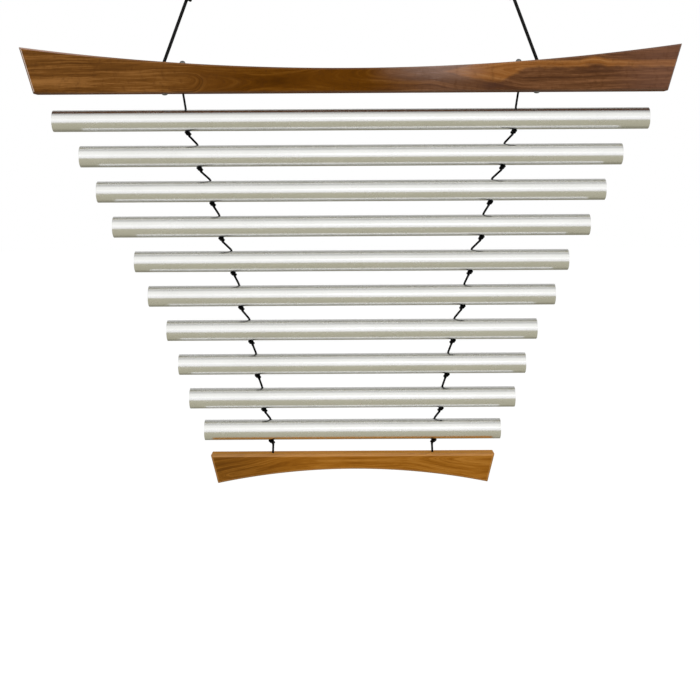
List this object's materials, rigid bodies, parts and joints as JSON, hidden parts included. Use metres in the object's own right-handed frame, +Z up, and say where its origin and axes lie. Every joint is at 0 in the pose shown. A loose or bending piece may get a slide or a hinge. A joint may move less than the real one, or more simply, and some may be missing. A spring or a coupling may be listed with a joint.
{
  "type": "hanging tube chime",
  "caption": "Flat hanging chime: level aluminium tubes of falling length strung one under the other on two knotted strings between an upper and a lower teak bar.",
  "frame": {"origin": "midway between the two points where the hanging cords' eyes bear on what holds them", "axes": "+X along the tubes to the right as seen from the front, +Y to the back, +Z up"},
  "size_m": [0.783, 0.0252, 0.6268],
  "materials": {
    "teak_dark": "varnished dark brown teak",
    "teak_light": "oiled golden brown teak",
    "aluminium": "satin drawn tube",
    "black_string": "thin black braided string",
    "black_cord": "black braided cord with pale flecks",
    "stop_metal": "dull grey metal"
  },
  "bodies": {
    "hanging_cords": {"left_hanging_cord": "black_cord", "right_hanging_cord": "black_cord"},
    "upper_bar": {"top_bar": "teak_dark", "left_cord_end": "black_cord", "right_cord_end": "black_cord", "left_string_00": "black_string", "right_string_00": "black_string", "left_string_top_stop": "stop_metal", "right_string_top_stop": "stop_metal", "left_cord_stop": "stop_metal", "right_cord_stop": "stop_metal"},
    "hung_tube_01": {"tube_01": "aluminium", "left_string_01": "black_string", "right_string_01": "black_string"},
    "hung_tube_02": {"tube_02": "aluminium", "left_string_02": "black_string", "right_string_02": "black_string"},
    "hung_tube_03": {"tube_03": "aluminium", "left_string_03": "black_string", "right_string_03": "black_string"},
    "hung_tube_04": {"tube_04": "aluminium", "left_string_04": "black_string", "right_string_04": "black_string"},
    "hung_tube_05": {"tube_05": "aluminium", "left_string_05": "black_string", "right_string_05": "black_string"},
    "hung_tube_06": {"tube_06": "aluminium", "left_string_06": "black_string", "right_string_06": "black_string"},
    "hung_tube_07": {"tube_07": "aluminium", "left_string_07": "black_string", "right_string_07": "black_string"},
    "hung_tube_08": {"tube_08": "aluminium", "left_string_08": "black_string", "right_string_08": "black_string"},
    "hung_tube_09": {"tube_09": "aluminium", "left_string_09": "black_string", "right_string_09": "black_string"},
    "hung_tube_10": {"tube_10": "aluminium", "left_string_10": "black_string", "right_string_10": "black_string"},
    "hung_lower_bar": {"lower_bar": "teak_light", "left_string_11": "black_string", "right_string_11": "black_string", "left_string_bottom_stop": "stop_metal", "right_string_bottom_stop": "stop_metal"}
  },
  "joints": [
    {"name": "top_bar_rock", "type": "hinge", "parent": "hanging_cords", "child": "upper_bar", "pos_m": [0, 0, -0.1115], "axis": [1, 0, 0], "range_deg": [-20, 20]},
    {"name": "tube_01_swing", "type": "hinge", "parent": "upper_bar", "child": "hung_tube_01", "pos_m": [0, 0, -0.14949], "axis": [1, 0, 0], "range_deg": [-20, 20]},
    {"name": "tube_02_swing", "type": "hinge", "parent": "hung_tube_01", "child": "hung_tube_02", "pos_m": [0, 0, -0.1995], "axis": [1, 0, 0], "range_deg": [-20, 20]},
    {"name": "tube_03_swing", "type": "hinge", "parent": "hung_tube_02", "child": "hung_tube_03", "pos_m": [0, 0, -0.24162], "axis": [1, 0, 0], "range_deg": [-20, 20]},
    {"name": "tube_04_swing", "type": "hinge", "parent": "hung_tube_03", "child": "hung_tube_04", "pos_m": [0, 0, -0.28408], "axis": [1, 0, 0], "range_deg": [-20, 20]},
    {"name": "tube_05_swing", "type": "hinge", "parent": "hung_tube_04", "child": "hung_tube_05", "pos_m": [0, 0, -0.32606], "axis": [1, 0, 0], "range_deg": [-20, 20]},
    {"name": "tube_06_swing", "type": "hinge", "parent": "hung_tube_05", "child": "hung_tube_06", "pos_m": [0, 0, -0.36856], "axis": [1, 0, 0], "range_deg": [-20, 20]},
    {"name": "tube_07_swing", "type": "hinge", "parent": "hung_tube_06", "child": "hung_tube_07", "pos_m": [0, 0, -0.41056], "axis": [1, 0, 0], "range_deg": [-20, 20]},
    {"name": "tube_08_swing", "type": "hinge", "parent": "hung_tube_07", "child": "hung_tube_08", "pos_m": [0, 0, -0.45303], "axis": [1, 0, 0], "range_deg": [-20, 20]},
    {"name": "tube_09_swing", "type": "hinge", "parent": "hung_tube_08", "child": "hung_tube_09", "pos_m": [0, 0, -0.49525], "axis": [1, 0, 0], "range_deg": [-20, 20]},
    {"name": "tube_10_swing", "type": "hinge", "parent": "hung_tube_09", "child": "hung_tube_10", "pos_m": [0, 0, -0.53716], "axis": [1, 0, 0], "range_deg": [-20, 20]},
    {"name": "lower_bar_swing", "type": "hinge", "parent": "hung_tube_10", "child": "hung_lower_bar", "pos_m": [0, 0, -0.57748], "axis": [1, 0, 0], "range_deg": [-20, 20]}
  ]
}
